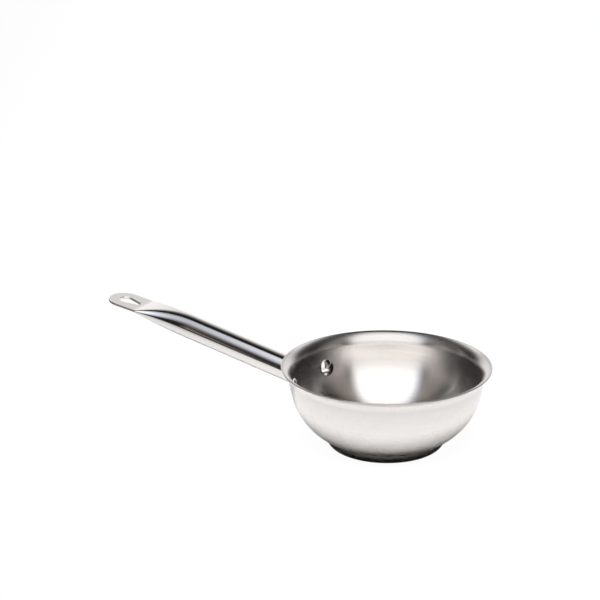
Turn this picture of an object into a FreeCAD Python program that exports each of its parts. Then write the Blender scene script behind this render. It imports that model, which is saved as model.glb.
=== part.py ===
import FreeCAD, Part
import math
import os

import Sketcher
from FreeCAD import Vector

# Saucier pan of 16 cm: a spun steel bowl with a flared pouring lip, a capsule base that encloses an
# aluminium disc, and a tube handle on a riveted saddle, pressed flat at its end for a hanging eye.
# The bowl's axis is Z, the pan stands on the plane z = 0, and the handle points along -X.

# Driving dimensions in millimetres and degrees
SIZES = {
    # Bowl: an upright wall at the mouth, a round belly below it, a lip that flares outwards above it
    "bowl_wall": 1.2,
    "mouth_radius": 80.2,
    "belly_radius": 57.0,
    "belly_height": 58.6,
    "corner_radius": 15.0,
    "lip_radius": 9.8,
    "lip_turn": 73.0,
    # Base: an aluminium disc in a shallow steel cup
    "core_thickness": 5.6,
    "capsule_wall": 0.6,
    "base_radius": 49.5,
    "base_edge_radius": 7.4,
    # Handle axis: it crosses the bowl's axis at this height and rises outwards
    "axis_height": 29.3,
    "handle_tilt": 11.0,
    # Handle tube: distances are taken along the handle's axis from the bowl's axis
    "tube_radius": 10.5,
    "tube_wall": 1.0,
    "joint_reach": 92.0,
    "round_reach": 197.0,
    "tab_reach": 250.0,
    "tip_reach": 282.6,
    "tab_width": 31.0,
    "tab_thickness": 2.1,
    "tab_bend": 3.5,
    "crease_half_width": 0.4,
    # Hanging eye: a teardrop, broad towards the tip
    "eye_reach": 267.0,
    "eye_radius": 5.8,
    "eye_length": 12.4,
    "eye_tail_radius": 2.3,
    "eye_edge": 0.3,
    # Saddle: a plate that follows the wall, with an ear for each rivet and a drawn collar for the tube
    "saddle_thickness": 1.5,
    "saddle_half_angle": 30.0,
    "ear_radius": 9.0,
    "crown_height": 15.5,
    "plate_sweep": 60.0,
    "collar_wall": 2.0,
    "collar_length": 25.0,
    "spigot_length": 12.0,
    "collar_root_radius": 2.5,
    # Rivets: domed heads inside the bowl, formed tails on the saddle
    "rivet_angle": 19.3,
    "rivet_height": 44.6,
    "shank_radius": 3.0,
    "head_radius": 6.6,
    "head_height": 3.0,
    "tail_radius": 5.0,
    "tail_height": 1.0,
    "rivet_edge": 0.7,
}

# Share of the way from the round tube to the tab, counted from the tube, for each pressed section
PRESS_STATIONS = (0.3, 0.55, 0.75, 0.9, 1.0)
# The tube flattens slowly at first and fastest at the tab, which leaves a shoulder there
PRESS_POWER = 2.2
# The hollow of the tube closes just before the tab
HOLLOW_STATIONS = (0.3, 0.55, 0.75, 0.9, 0.95)

# Derived sizes, as formulas on the driving ones
FLOOR = "(Sizes.capsule_wall + Sizes.core_thickness)"
BELLY_CENTRE = "(Sizes.mouth_radius - Sizes.belly_radius)"
CORNER_HEIGHT = f"({FLOOR} + Sizes.corner_radius)"
CORNER_CENTRE = (
    f"({BELLY_CENTRE} + sqrt((Sizes.belly_radius - Sizes.corner_radius)^2"
    f" - (Sizes.belly_height - {CORNER_HEIGHT})^2))"
)
INNER_EDGE = "(Sizes.base_edge_radius - Sizes.capsule_wall)"
EDGE_CENTRE = "(Sizes.base_radius - Sizes.base_edge_radius)"
INNER_SEAT = "(Sizes.belly_radius - Sizes.bowl_wall)"
OUTER_SEAT = "(Sizes.belly_radius + Sizes.saddle_thickness)"
RIVET_DIP = "asin((Sizes.belly_height - Sizes.rivet_height) / Sizes.belly_radius)"
TAB_STRAIGHT = "(Sizes.tip_reach - Sizes.tab_reach - Sizes.tab_width / 2)"
EAR_SPAN = f"(({BELLY_CENTRE} + Sizes.belly_radius * cos({RIVET_DIP})) * sin(Sizes.rivet_angle * 1 deg))"
TUBE_BORE = "(Sizes.tube_radius - Sizes.tube_wall)"

# Allowance for finding an edge by where it lies
EDGE_SLACK = 0.5

doc = FreeCAD.newDocument("saucier_pan")


def make_sheet():
    """Write the driving dimensions into a sheet, one named cell each."""
    sheet = doc.addObject("Spreadsheet::Sheet", "Sizes")
    for row, (alias, value) in enumerate(SIZES.items(), start=1):
        sheet.set(f"A{row}", alias)
        sheet.set(f"B{row}", str(value))
        sheet.setAlias(f"B{row}", alias)
    doc.recompute()
    return sheet


def value(formula):
    """Work out a formula on the sheet's cells as a plain number."""
    result = sheet.evalExpression(formula)
    return float(getattr(result, "Value", result))


def new_body(label):
    body = doc.addObject("PartDesign::Body", label)
    body.Label = label
    return body


def new_sketch(body, name, role, offset=None):
    """Make a sketch on one of the body's origin planes; offset is a placement formula."""
    sketch = body.newObject("Sketcher::SketchObject", name)
    plane = next(item for item in body.Origin.OriginFeatures if item.Role == role)
    sketch.AttachmentSupport = [(plane, "")]
    sketch.MapMode = "FlatFace"
    if offset:
        sketch.setExpression("AttachmentOffset", offset)
        doc.recompute()
    return sketch


def placement(x, y, z, rotation):
    return f"create(<<placement>>; create(<<vector>>; {x}; {y}; {z}); create(<<rotation>>; {rotation}))"


def line(start, end):
    return Part.LineSegment(Vector(*start, 0), Vector(*end, 0))


def arc(centre, radius, start, end):
    """Arc about a centre, counter-clockwise between two angles in degrees."""
    circle = Part.Circle(Vector(*centre, 0), Vector(0, 0, 1), radius)
    return Part.ArcOfCircle(circle, math.radians(start), math.radians(end))


def tie(sketch, kind, *ends):
    sketch.addConstraint(Sketcher.Constraint(kind, *ends))


def size(sketch, name, kind, ends, formula):
    """Add a dimension to a sketch and bind it to a formula."""
    amount = value(formula)
    if kind == "Angle":
        amount = math.radians(amount)
        formula = f"{formula} * 1 deg"
    index = sketch.addConstraint(Sketcher.Constraint(kind, *ends, amount))
    sketch.renameConstraint(index, name)
    sketch.setExpression(f"Constraints.{name}", formula)


ORIGIN = (-1, 1)
AXIS_ACROSS = -1
AXIS_UP = -2


def revolve(body, sketch, name, axis="V_Axis", kind="PartDesign::Revolution", angle=None):
    feature = body.newObject(kind, name)
    feature.Profile = sketch
    feature.ReferenceAxis = (sketch, [axis])
    feature.Angle = 360
    if angle:
        feature.setExpression("Angle", angle)
        feature.Midplane = True
    doc.recompute()
    return feature


def pocket_through(body, sketch, name):
    """Cut a sketch through the body both ways."""
    before = body.Shape.Volume
    feature = body.newObject("PartDesign::Pocket", name)
    feature.Profile = sketch
    feature.Type = "ThroughAll"
    feature.Midplane = True
    doc.recompute()
    if body.Shape.Volume >= before:
        raise RuntimeError(f"{name} cuts nothing")
    return feature


def rivet_hole(body, name, side):
    """Cut a rivet's hole square to the wall; side is +1 or -1 of the handle."""
    before = body.Shape.Volume
    hole = body.newObject("PartDesign::SubtractiveCylinder", name)
    hole.setExpression("Radius", "Sizes.shank_radius")
    hole.setExpression("Height", f"{OUTER_SEAT} + Sizes.tail_height")
    hole.setExpression("Placement", rivet_placement(side, "90 deg"))
    doc.recompute()
    if body.Shape.Volume >= before:
        raise RuntimeError(f"{name} cuts nothing")


def rivet_placement(side, turn="0 deg"):
    """Place a piece at the belly's centre, its own axis square to the wall at the rivet."""
    heading = f"180 + {side} * Sizes.rivet_angle"
    x = f"{BELLY_CENTRE} * cos(({heading}) * 1 deg)"
    y = f"{BELLY_CENTRE} * sin(({heading}) * 1 deg)"
    return placement(x, y, "Sizes.belly_height", f"({heading}) * 1 deg; {RIVET_DIP} + {turn}; 0")


def make_bowl():
    """Spin the wall's section: floor, corner, belly and lip, with a rounded rim edge."""
    body = new_body("pan_bowl")
    sketch = new_sketch(body, "wall_section", "XZ_Plane")
    wall = value("Sizes.bowl_wall")
    floor = value(FLOOR)
    corner = (value(CORNER_CENTRE), value(CORNER_HEIGHT))
    corner_radius = value("Sizes.corner_radius")
    belly = (value(BELLY_CENTRE), value("Sizes.belly_height"))
    belly_radius = value("Sizes.belly_radius")
    lip_radius = value("Sizes.lip_radius")
    lip = (value("Sizes.mouth_radius") + lip_radius, belly[1])
    lip_end = 180 - value("Sizes.lip_turn")
    join = math.degrees(math.atan2(corner[1] - belly[1], corner[0] - belly[0]))
    edge_reach = lip_radius + wall / 2
    edge = (
        lip[0] + edge_reach * math.cos(math.radians(lip_end)),
        lip[1] + edge_reach * math.sin(math.radians(lip_end)),
    )
    sketch.addGeometry([
        line((0, floor), (corner[0], floor)),
        arc(corner, corner_radius, -90, join),
        arc(belly, belly_radius, join, 0),
        arc(lip, lip_radius, lip_end, 180),
        arc(edge, wall / 2, lip_end - 180, lip_end),
        arc(lip, lip_radius + wall, lip_end, 180),
        arc(belly, belly_radius - wall, join, 0),
        arc(corner, corner_radius - wall, -90, join),
        line((corner[0], floor + wall), (0, floor + wall)),
        line((0, floor + wall), (0, floor)),
    ])
    floor_out, corner_out, belly_out, lip_out, rim = 0, 1, 2, 3, 4
    lip_in, belly_in, corner_in, floor_in, middle = 5, 6, 7, 8, 9
    tie(sketch, "Tangent", floor_out, 2, corner_out, 1)
    tie(sketch, "Tangent", corner_out, 2, belly_out, 1)
    tie(sketch, "Tangent", belly_out, 2, lip_out, 2)
    tie(sketch, "Tangent", lip_out, 1, rim, 1)
    tie(sketch, "Tangent", rim, 2, lip_in, 1)
    tie(sketch, "Tangent", lip_in, 2, belly_in, 2)
    tie(sketch, "Tangent", belly_in, 1, corner_in, 2)
    tie(sketch, "Tangent", corner_in, 1, floor_in, 1)
    tie(sketch, "Coincident", floor_in, 2, middle, 1)
    tie(sketch, "Coincident", middle, 2, floor_out, 1)
    tie(sketch, "Coincident", corner_in, 3, corner_out, 3)
    tie(sketch, "Coincident", belly_in, 3, belly_out, 3)
    tie(sketch, "Coincident", lip_in, 3, lip_out, 3)
    tie(sketch, "Horizontal", floor_out)
    tie(sketch, "Horizontal", floor_in)
    tie(sketch, "Horizontal", belly_out, 2, belly_out, 3)
    tie(sketch, "PointOnObject", floor_out, 1, AXIS_UP)
    tie(sketch, "PointOnObject", floor_in, 2, AXIS_UP)
    size(sketch, "floor", "DistanceY", (*ORIGIN, floor_out, 1), FLOOR)
    size(sketch, "wall", "DistanceY", (floor_out, 1, floor_in, 2), "Sizes.bowl_wall")
    size(sketch, "corner", "Radius", (corner_out,), "Sizes.corner_radius")
    size(sketch, "belly", "Radius", (belly_out,), "Sizes.belly_radius")
    size(sketch, "belly_height", "DistanceY", (*ORIGIN, belly_out, 3), "Sizes.belly_height")
    size(sketch, "mouth", "DistanceX", (*ORIGIN, belly_out, 2), "Sizes.mouth_radius")
    size(sketch, "lip", "Radius", (lip_out,), "Sizes.lip_radius")
    size(sketch, "lip_turn", "Angle", (lip_out,), "Sizes.lip_turn")
    revolve(body, sketch, "spun_wall")
    rivet_hole(body, "hole_left", 1)
    rivet_hole(body, "hole_right", -1)
    return body


def seat_angle(radius):
    """Angle on the bowl's corner arc where it stands over a given radius."""
    share = (radius - value(CORNER_CENTRE)) / value("Sizes.corner_radius")
    return math.degrees(math.asin(share)) - 90


def seat_point(radius):
    angle = math.radians(seat_angle(radius))
    reach = value("Sizes.corner_radius")
    return (radius, value(CORNER_HEIGHT) + reach * math.sin(angle))


def make_core():
    """Turn the disc that fills the base between the capsule and the bowl's underside."""
    body = new_body("base_core")
    sketch = new_sketch(body, "disc_section", "XZ_Plane")
    skin = value("Sizes.capsule_wall")
    floor = value(FLOOR)
    edge = (value(EDGE_CENTRE), value("Sizes.base_edge_radius"))
    rim = value("Sizes.base_radius") - skin
    corner = (value(CORNER_CENTRE), value(CORNER_HEIGHT))
    sketch.addGeometry([
        line((0, skin), (edge[0], skin)),
        arc(edge, value(INNER_EDGE), -90, 0),
        line((rim, edge[1]), seat_point(rim)),
        arc(corner, value("Sizes.corner_radius"), -90, seat_angle(rim)),
        line((corner[0], floor), (0, floor)),
        line((0, floor), (0, skin)),
    ])
    under, round_edge, side, seat, top, middle = range(6)
    tie(sketch, "Tangent", under, 2, round_edge, 1)
    tie(sketch, "Tangent", round_edge, 2, side, 1)
    tie(sketch, "Coincident", side, 2, seat, 2)
    tie(sketch, "Tangent", seat, 1, top, 1)
    tie(sketch, "Coincident", top, 2, middle, 1)
    tie(sketch, "Coincident", middle, 2, under, 1)
    tie(sketch, "Horizontal", under)
    tie(sketch, "Vertical", side)
    tie(sketch, "Horizontal", top)
    tie(sketch, "PointOnObject", under, 1, AXIS_UP)
    tie(sketch, "PointOnObject", top, 2, AXIS_UP)
    size(sketch, "skin", "DistanceY", (*ORIGIN, under, 1), "Sizes.capsule_wall")
    size(sketch, "edge", "Radius", (round_edge,), INNER_EDGE)
    size(sketch, "edge_centre", "DistanceX", (*ORIGIN, round_edge, 3), EDGE_CENTRE)
    size(sketch, "seat", "Radius", (seat,), "Sizes.corner_radius")
    size(sketch, "seat_centre", "DistanceX", (*ORIGIN, seat, 3), CORNER_CENTRE)
    size(sketch, "floor", "DistanceY", (*ORIGIN, top, 2), FLOOR)
    revolve(body, sketch, "turned_disc")
    return body


def make_capsule():
    """Press the shallow cup whose rim closes against the bowl."""
    body = new_body("base_capsule")
    sketch = new_sketch(body, "cup_section", "XZ_Plane")
    skin = value("Sizes.capsule_wall")
    outer = value("Sizes.base_radius")
    inner = outer - skin
    edge = (value(EDGE_CENTRE), value("Sizes.base_edge_radius"))
    corner = (value(CORNER_CENTRE), value(CORNER_HEIGHT))
    sketch.addGeometry([
        line((0, 0), (edge[0], 0)),
        arc(edge, value("Sizes.base_edge_radius"), -90, 0),
        line((outer, edge[1]), seat_point(outer)),
        arc(corner, value("Sizes.corner_radius"), seat_angle(inner), seat_angle(outer)),
        line(seat_point(inner), (inner, edge[1])),
        arc(edge, value(INNER_EDGE), -90, 0),
        line((edge[0], skin), (0, skin)),
        line((0, skin), (0, 0)),
    ])
    under, edge_out, side_out, rim, side_in, edge_in, inside, middle = range(8)
    tie(sketch, "Tangent", under, 2, edge_out, 1)
    tie(sketch, "Tangent", edge_out, 2, side_out, 1)
    tie(sketch, "Coincident", side_out, 2, rim, 2)
    tie(sketch, "Coincident", rim, 1, side_in, 1)
    tie(sketch, "Tangent", side_in, 2, edge_in, 2)
    tie(sketch, "Tangent", edge_in, 1, inside, 1)
    tie(sketch, "Coincident", inside, 2, middle, 1)
    tie(sketch, "Coincident", middle, 2, under, 1)
    tie(sketch, "Coincident", edge_in, 3, edge_out, 3)
    tie(sketch, "Horizontal", under)
    tie(sketch, "Vertical", side_out)
    tie(sketch, "Vertical", side_in)
    tie(sketch, "Coincident", under, 1, *ORIGIN)
    tie(sketch, "PointOnObject", inside, 2, AXIS_UP)
    size(sketch, "edge", "Radius", (edge_out,), "Sizes.base_edge_radius")
    size(sketch, "edge_centre", "DistanceX", (*ORIGIN, edge_out, 3), EDGE_CENTRE)
    size(sketch, "inner_edge", "Radius", (edge_in,), INNER_EDGE)
    size(sketch, "seat", "Radius", (rim,), "Sizes.corner_radius")
    size(sketch, "seat_centre", "DistanceX", (*ORIGIN, rim, 3), CORNER_CENTRE)
    size(sketch, "seat_height", "DistanceY", (*ORIGIN, rim, 3), CORNER_HEIGHT)
    revolve(body, sketch, "pressed_cup")
    return body


def make_rivet(label, side):
    """Turn a rivet about its axis: domed head, shank through wall and saddle, domed tail."""
    body = new_body(label)
    sketch = new_sketch(body, "rivet_section", "XZ_Plane")
    shank = value("Sizes.shank_radius")
    edge = value("Sizes.rivet_edge")
    ends = []
    for seat, radius, height, outward in (
        (value(INNER_SEAT), value("Sizes.head_radius"), value("Sizes.head_height"), -1),
        (value(OUTER_SEAT), value("Sizes.tail_radius"), value("Sizes.tail_height"), 1),
    ):
        rim = math.sqrt(seat ** 2 - radius ** 2)
        crown = seat + outward * height
        rise = abs(crown - rim) - edge
        dome = (radius ** 2 + rise ** 2) / (2 * rise)
        ends.append({
            "seat": seat,
            "rim": (rim, radius),
            "shoulder": (rim + outward * edge, radius),
            "crown": (crown, 0),
            "dome": dome,
            "centre": (crown - outward * dome, 0),
            "open": math.degrees(math.asin(radius / dome)),
            "neck": (math.sqrt(seat ** 2 - shank ** 2), shank),
            "neck_angle": math.degrees(math.asin(shank / seat)),
            "rim_angle": math.degrees(math.asin(radius / seat)),
        })
    head, tail = ends
    sketch.addGeometry([
        arc(head["centre"], head["dome"], 180 - head["open"], 180),
        line(head["shoulder"], head["rim"]),
        arc((0, 0), head["seat"], head["neck_angle"], head["rim_angle"]),
        line(head["neck"], tail["neck"]),
        arc((0, 0), tail["seat"], tail["neck_angle"], tail["rim_angle"]),
        line(tail["rim"], tail["shoulder"]),
        arc(tail["centre"], tail["dome"], 0, tail["open"]),
        line(tail["crown"], head["crown"]),
    ])
    head_dome, head_side, head_seat, stem, tail_seat, tail_side, tail_dome, middle = range(8)
    tie(sketch, "Coincident", head_dome, 1, head_side, 1)
    tie(sketch, "Coincident", head_side, 2, head_seat, 2)
    tie(sketch, "Coincident", head_seat, 1, stem, 1)
    tie(sketch, "Coincident", stem, 2, tail_seat, 1)
    tie(sketch, "Coincident", tail_seat, 2, tail_side, 1)
    tie(sketch, "Coincident", tail_side, 2, tail_dome, 2)
    tie(sketch, "Coincident", tail_dome, 1, middle, 1)
    tie(sketch, "Coincident", middle, 2, head_dome, 2)
    tie(sketch, "Coincident", head_seat, 3, *ORIGIN)
    tie(sketch, "Coincident", tail_seat, 3, *ORIGIN)
    tie(sketch, "PointOnObject", head_dome, 3, AXIS_ACROSS)
    tie(sketch, "PointOnObject", tail_dome, 3, AXIS_ACROSS)
    tie(sketch, "PointOnObject", head_dome, 2, AXIS_ACROSS)
    tie(sketch, "PointOnObject", tail_dome, 1, AXIS_ACROSS)
    tie(sketch, "Horizontal", head_side)
    tie(sketch, "Horizontal", stem)
    tie(sketch, "Horizontal", tail_side)
    size(sketch, "head_seat", "Radius", (head_seat,), INNER_SEAT)
    size(sketch, "tail_seat", "Radius", (tail_seat,), OUTER_SEAT)
    size(sketch, "shank", "DistanceY", (*ORIGIN, stem, 1), "Sizes.shank_radius")
    size(sketch, "head", "DistanceY", (*ORIGIN, head_side, 2), "Sizes.head_radius")
    size(sketch, "tail", "DistanceY", (*ORIGIN, tail_side, 1), "Sizes.tail_radius")
    size(sketch, "head_edge", "DistanceX", (head_side, 1, head_side, 2), "Sizes.rivet_edge")
    size(sketch, "tail_edge", "DistanceX", (tail_side, 1, tail_side, 2), "Sizes.rivet_edge")
    size(sketch, "crown_in", "DistanceX", (*ORIGIN, head_dome, 2), f"{INNER_SEAT} - Sizes.head_height")
    size(sketch, "crown_out", "DistanceX", (*ORIGIN, tail_dome, 1), f"{OUTER_SEAT} + Sizes.tail_height")
    revolve(body, sketch, "turned_rivet", "H_Axis")
    body.setExpression("Placement", rivet_placement(side))
    return body


def handle_offset(reach, bend="0"):
    """Place a cross-section of the handle at a distance along its axis."""
    return placement(0, 0, f"-({reach})", f"create(<<vector>>; 1; 0; 0); -({bend})")


def round_section(body, name, reach, radius):
    """Draw the tube's circle in four arcs; the two short ones grow into the pressed flats."""
    sketch = new_sketch(body, name, "YZ_Plane", handle_offset(reach))
    crease = math.degrees(math.asin(value("Sizes.crease_half_width") / value(radius)))
    full = value(radius)
    sketch.addGeometry([
        arc((0, 0), full, 90 - crease, 90 + crease),
        arc((0, 0), full, 90 + crease, 270 - crease),
        arc((0, 0), full, 270 - crease, 270 + crease),
        arc((0, 0), full, 270 + crease, 450 - crease),
    ])
    top, left, under, right = range(4)
    tie(sketch, "Coincident", top, 3, *ORIGIN)
    tie(sketch, "Tangent", top, 2, left, 1)
    tie(sketch, "Tangent", left, 2, under, 1)
    tie(sketch, "Coincident", under, 2, right, 1)
    tie(sketch, "Coincident", right, 2, top, 1)
    for curve in (left, under, right):
        tie(sketch, "Equal", top, curve)
    size(sketch, "radius", "Radius", (top,), radius)
    size(sketch, "top_right", "DistanceX", (*ORIGIN, top, 1), "Sizes.crease_half_width")
    size(sketch, "top_left", "DistanceX", (top, 2, *ORIGIN), "Sizes.crease_half_width")
    size(sketch, "under_left", "DistanceX", (under, 1, *ORIGIN), "Sizes.crease_half_width")
    size(sketch, "under_right", "DistanceX", (*ORIGIN, under, 2), "Sizes.crease_half_width")
    return sketch


def flat_section(body, name, offset, half_flat, half_thickness):
    """Draw a pressed section: two flats joined by half rounds."""
    sketch = new_sketch(body, name, "YZ_Plane", offset)
    flat = value(half_flat)
    thick = value(half_thickness)
    sketch.addGeometry([
        line((flat, thick), (-flat, thick)),
        arc((-flat, 0), thick, 90, 270),
        line((-flat, -thick), (flat, -thick)),
        arc((flat, 0), thick, 270, 450),
    ])
    top, left, under, right = range(4)
    tie(sketch, "Tangent", top, 2, left, 1)
    tie(sketch, "Tangent", left, 2, under, 1)
    tie(sketch, "Tangent", under, 2, right, 1)
    tie(sketch, "Tangent", right, 2, top, 1)
    tie(sketch, "Horizontal", top)
    tie(sketch, "PointOnObject", left, 3, AXIS_ACROSS)
    tie(sketch, "PointOnObject", right, 3, AXIS_ACROSS)
    size(sketch, "flat_right", "DistanceX", (*ORIGIN, right, 3), half_flat)
    size(sketch, "flat_left", "DistanceX", (left, 3, *ORIGIN), half_flat)
    size(sketch, "round_side", "Radius", (right,), half_thickness)
    return sketch


def pressed_formulas(share):
    """Distance, half flat and half thickness of the pressed tube at a share of its transition."""
    press = share ** PRESS_POWER
    reach = f"(Sizes.round_reach + {share} * (Sizes.tab_reach - Sizes.round_reach))"
    half_thickness = f"(Sizes.tube_radius + {press:.4f} * (Sizes.tab_thickness / 2 - Sizes.tube_radius))"
    half_width = f"(Sizes.tube_radius + {press:.4f} * (Sizes.tab_width / 2 - Sizes.tube_radius))"
    return reach, f"({half_width} - {half_thickness})", half_thickness


def loft(body, kind, name, sections):
    feature = body.newObject(kind, name)
    feature.Profile = sections[0]
    feature.Sections = sections[1:]
    doc.recompute()
    return feature


def make_handle():
    """Press a round tube flat at its end: ring, tapering shoulder, tab, round tip and hanging eye."""
    body = new_body("handle_tube")
    ring = new_sketch(body, "tube_ring", "YZ_Plane", handle_offset("Sizes.joint_reach"))
    for index, radius in enumerate(("Sizes.tube_radius", TUBE_BORE)):
        ring.addGeometry(Part.Circle(Vector(0, 0, 0), Vector(0, 0, 1), value(radius)))
        tie(ring, "Coincident", index, 3, *ORIGIN)
        size(ring, f"radius_{index}", "Radius", (index,), radius)
    tube = body.newObject("PartDesign::Pad", "round_tube")
    tube.Profile = ring
    tube.Reversed = True
    tube.setExpression("Length", "Sizes.round_reach - Sizes.joint_reach")
    doc.recompute()

    outer = [round_section(body, "outer_round", "Sizes.round_reach", "Sizes.tube_radius")]
    for index, share in enumerate(PRESS_STATIONS):
        reach, half_flat, half_thickness = pressed_formulas(share)
        bend = "Sizes.tab_bend" if share == 1.0 else "0"
        offset = handle_offset(reach, bend)
        outer.append(flat_section(body, f"outer_pressed_{index}", offset, half_flat, half_thickness))
    loft(body, "PartDesign::AdditiveLoft", "pressed_shoulder", outer)

    inner = [round_section(body, "inner_round", "Sizes.round_reach", TUBE_BORE)]
    for index, share in enumerate(HOLLOW_STATIONS):
        reach, half_flat, half_thickness = pressed_formulas(share)
        inside = f"({half_thickness} - Sizes.tube_wall)"
        inner.append(flat_section(body, f"inner_pressed_{index}", handle_offset(reach), half_flat, inside))
    before = body.Shape.Volume
    loft(body, "PartDesign::SubtractiveLoft", "pressed_hollow", inner)
    if body.Shape.Volume >= before:
        raise RuntimeError("pressed_hollow cuts nothing")

    _, half_flat, half_thickness = pressed_formulas(1.0)
    offset = handle_offset("Sizes.tab_reach", "Sizes.tab_bend")
    tab = body.newObject("PartDesign::Pad", "flat_tab")
    tab.Profile = flat_section(body, "tab_section", offset, half_flat, half_thickness)
    tab.Reversed = True
    tab.setExpression("Length", TAB_STRAIGHT)
    doc.recompute()
    round_tip(body, half_flat, half_thickness)
    pocket_through(body, eye_sketch(body), "hanging_eye")
    bevel_eye(body)
    body.setExpression("Placement", placement(0, 0, "Sizes.axis_height", "0; Sizes.handle_tilt; 0"))
    return body


def tab_plane(body, name):
    """Make a sketch in the tab's middle plane, its origin at the bend and the tip towards -X."""
    turn = "create(<<vector>>; 0; 1; 0); -Sizes.tab_bend"
    return new_sketch(body, name, "XY_Plane", placement("-Sizes.tab_reach", 0, 0, turn))


def round_tip(body, half_flat, half_thickness):
    """Turn half of the tab's section about the tip's centre, so that the round edge runs on round it."""
    drop = f"-{TAB_STRAIGHT} * sin(Sizes.tab_bend * 1 deg)"
    reach = f"-(Sizes.tab_reach + {TAB_STRAIGHT} * cos(Sizes.tab_bend * 1 deg))"
    turn = "create(<<vector>>; 1; 0; 0); -Sizes.tab_bend"
    sketch = new_sketch(body, "tip_section", "YZ_Plane", placement(0, drop, reach, turn))
    flat = value(half_flat)
    thick = value(half_thickness)
    sketch.addGeometry([
        line((0, -thick), (flat, -thick)),
        arc((flat, 0), thick, -90, 90),
        line((flat, thick), (0, thick)),
        line((0, thick), (0, -thick)),
    ])
    under, edge, top, middle = range(4)
    tie(sketch, "Tangent", under, 2, edge, 1)
    tie(sketch, "Tangent", edge, 2, top, 1)
    tie(sketch, "Coincident", top, 2, middle, 1)
    tie(sketch, "Coincident", middle, 2, under, 1)
    tie(sketch, "Horizontal", top)
    tie(sketch, "PointOnObject", edge, 3, AXIS_ACROSS)
    tie(sketch, "PointOnObject", under, 1, AXIS_UP)
    tie(sketch, "PointOnObject", top, 2, AXIS_UP)
    size(sketch, "flat", "DistanceX", (*ORIGIN, edge, 3), half_flat)
    size(sketch, "round_side", "Radius", (edge,), half_thickness)
    tip = body.newObject("PartDesign::Revolution", "round_tip")
    tip.Profile = sketch
    tip.ReferenceAxis = (sketch, ["V_Axis"])
    tip.Angle = 180
    doc.recompute()


def eye_sketch(body):
    """Draw the teardrop: a large round towards the tip, a small one towards the pan, and two tangents."""
    sketch = tab_plane(body, "eye_outline")
    centre = value("Sizes.tab_reach - Sizes.eye_reach")
    length = value("Sizes.eye_length")
    large = value("Sizes.eye_radius")
    small = value("Sizes.eye_tail_radius")
    lean = math.degrees(math.acos((large - small) / length))
    high = (math.cos(math.radians(lean)), math.sin(math.radians(lean)))
    tail = centre + length
    sketch.addGeometry([
        arc((centre, 0), large, lean, 360 - lean),
        line((centre + large * high[0], -large * high[1]), (tail + small * high[0], -small * high[1])),
        arc((tail, 0), small, -lean, lean),
        line((tail + small * high[0], small * high[1]), (centre + large * high[0], large * high[1])),
    ])
    broad, low, narrow, top = range(4)
    tie(sketch, "Tangent", broad, 2, low, 1)
    tie(sketch, "Tangent", low, 2, narrow, 1)
    tie(sketch, "Tangent", narrow, 2, top, 1)
    tie(sketch, "Tangent", top, 2, broad, 1)
    tie(sketch, "PointOnObject", broad, 3, AXIS_ACROSS)
    tie(sketch, "PointOnObject", narrow, 3, AXIS_ACROSS)
    size(sketch, "broad", "Radius", (broad,), "Sizes.eye_radius")
    size(sketch, "narrow", "Radius", (narrow,), "Sizes.eye_tail_radius")
    size(sketch, "place", "DistanceX", (broad, 3, *ORIGIN), "Sizes.eye_reach - Sizes.tab_reach")
    size(sketch, "length", "DistanceX", (broad, 3, narrow, 3), "Sizes.eye_length")
    return sketch


def bevel_eye(body):
    """Break the eye's two rims with a small chamfer."""
    tip = body.Tip
    reach = value("Sizes.eye_reach")
    broad = value("Sizes.eye_radius") + EDGE_SLACK
    tail = value("Sizes.eye_length") + broad
    rims = []
    for index, edge in enumerate(tip.Shape.Edges, start=1):
        box = edge.BoundBox
        along = -reach - broad < box.XMin and box.XMax < -reach + tail
        across = -broad < box.YMin and box.YMax < broad
        level = box.ZLength < value("Sizes.tab_thickness") / 2
        if along and across and level:
            rims.append(f"Edge{index}")
    chamfer = body.newObject("PartDesign::Chamfer", "eye_bevel")
    chamfer.Base = (tip, rims)
    chamfer.setExpression("Size", "Sizes.eye_edge")
    doc.recompute()


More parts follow.
